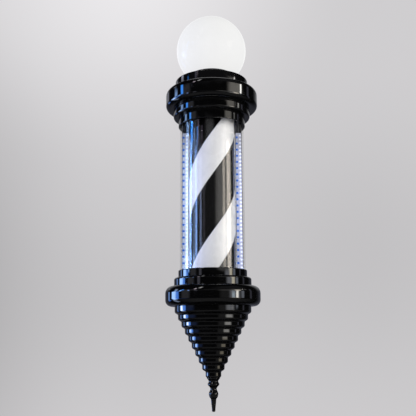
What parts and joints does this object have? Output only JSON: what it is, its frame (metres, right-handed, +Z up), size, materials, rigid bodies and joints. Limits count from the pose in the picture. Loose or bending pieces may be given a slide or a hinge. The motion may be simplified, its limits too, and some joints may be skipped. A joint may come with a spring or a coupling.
{
  "type": "barber pole",
  "caption": "Wall-mounted barber pole: a motor turns a striped drum inside a clear tube, between stepped black caps with a lit globe on top and a ringed cone below.",
  "frame": {"origin": "on the wall plane, midway between the two wall-screw holes of the upper bracket", "axes": "+Z up along the pole, +Y into the wall, +X to the right as seen from in front of the pole"},
  "size_m": [0.202, 0.216, 0.8647],
  "materials": {
    "black_gloss": "gloss",
    "opal_globe": "gloss",
    "lamp_glass": "satin",
    "clear_acrylic": "gloss",
    "drum_black": "gloss",
    "stripe_white": "satin",
    "zinc_steel": "satin",
    "plate_steel": "satin",
    "bracket_black": "satin",
    "black_rubber": "matte",
    "black_nylon": "satin",
    "white_nylon": "satin",
    "white_housing": "satin",
    "lamp_ceramic": "gloss",
    "brass": "polished",
    "bar_aluminium": "satin",
    "strip_white": "satin",
    "led_light": "gloss",
    "resistor_blue": "gloss",
    "lead_grey": "satin"
  },
  "bodies": {
    "housing": {"globe": "opal_globe", "globe_fitter": "black_gloss", "globe_set_screws": "zinc_steel", "lamp_holder": "lamp_ceramic", "lamp_nipple": "brass", "nipple_nut": "brass", "lamp_bulb": "lamp_glass", "top_cover": "black_gloss", "cover_screws": "zinc_steel", "cable_gland": "black_nylon", "gland_lock_nut": "black_nylon", "upper_cap": "black_gloss", "upper_gasket": "black_rubber", "top_plate": "plate_steel", "led_driver": "white_housing", "driver_screws": "zinc_steel", "terminal_block": "white_nylon", "pivot_pin": "plate_steel", "pin_nut": "zinc_steel", "clear_tube": "clear_acrylic", "led_post_left": "bar_aluminium", "led_post_right": "bar_aluminium", "led_strip_left": "strip_white", "led_strip_right": "strip_white", "led_chips": "led_light", "strip_resistors": "resistor_blue", "post_screws": "zinc_steel", "plate_screws": "zinc_steel", "lower_gasket": "black_rubber", "lower_cap": "black_gloss", "base_plate": "plate_steel", "gear_motor": "zinc_steel", "motor_screws": "zinc_steel", "cone_bridge": "plate_steel", "bridge_screws": "zinc_steel", "cone_rod": "zinc_steel", "rod_nuts": "zinc_steel", "cone_cover": "black_gloss", "finial": "black_gloss", "upper_bracket": "bracket_black", "lower_bracket": "bracket_black", "bracket_screws": "zinc_steel", "bracket_nuts": "zinc_steel", "lamp_lead": "lead_grey", "motor_lead": "lead_grey", "strip_leads": "lead_grey"},
    "drum": {"motor_shaft": "plate_steel", "drive_hub": "white_nylon", "hub_grub_screw": "zinc_steel", "drum_tube": "drum_black", "drum_stripes": "stripe_white", "drum_screws": "zinc_steel", "top_hub": "white_nylon", "pivot_bush": "brass"}
  },
  "joints": [
    {"name": "drum_spin", "type": "hinge", "parent": "housing", "child": "drum", "pos_m": [0, -0.115, 0], "axis": [0, 0, 1], "continuous": true}
  ]
}
